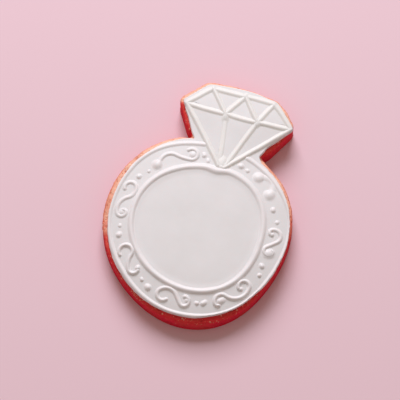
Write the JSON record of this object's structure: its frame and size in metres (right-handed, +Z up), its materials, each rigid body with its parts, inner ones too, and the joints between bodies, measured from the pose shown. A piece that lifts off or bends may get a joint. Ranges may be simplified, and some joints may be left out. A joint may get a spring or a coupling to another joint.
{
  "type": "iced sugar cookie",
  "caption": "Iced sugar cookie cut as a gem ring: thick baked slab, white flooded icing and raised piped lines, scrolls and pearls. Lies flat.",
  "frame": {"origin": "middle of the ring, on the flat base that the cookie rests on", "axes": "+Y from the ring's middle to the gem, +Z up out of the iced face, +X to the right seen from above"},
  "size_m": [0.0778, 0.1059, 0.013],
  "materials": {
    "baked_dough": "matte baked crumb",
    "flood_icing": "dry satin royal icing",
    "piped_icing": "dry satin royal icing"
  },
  "bodies": {
    "root": {"biscuit": "baked_dough", "icing_coat": "flood_icing", "border_line": "piped_icing", "inner_ring_line": "piped_icing", "gem_lines": "piped_icing", "scroll_upper_right": "piped_icing", "scroll_right": "piped_icing", "scroll_lower_right": "piped_icing", "scroll_bottom": "piped_icing", "scroll_lower_left": "piped_icing", "scroll_left": "piped_icing", "scroll_upper_left": "piped_icing", "pearl_gem_right_large": "piped_icing", "pearl_gem_right_small": "piped_icing", "pearl_upper_right_large": "piped_icing", "pearl_upper_right_small": "piped_icing", "pearl_lower_right_large": "piped_icing", "pearl_lower_right_small": "piped_icing", "pearl_bottom_right_large": "piped_icing", "pearl_bottom_right_small": "piped_icing", "pearl_bottom_left_large": "piped_icing", "pearl_bottom_left_small": "piped_icing", "pearl_lower_left_large": "piped_icing", "pearl_lower_left_small": "piped_icing", "pearl_upper_left_large": "piped_icing", "pearl_upper_left_small": "piped_icing", "pearl_gem_left_large": "piped_icing", "pearl_gem_left_small": "piped_icing"}
  },
  "joints": []
}
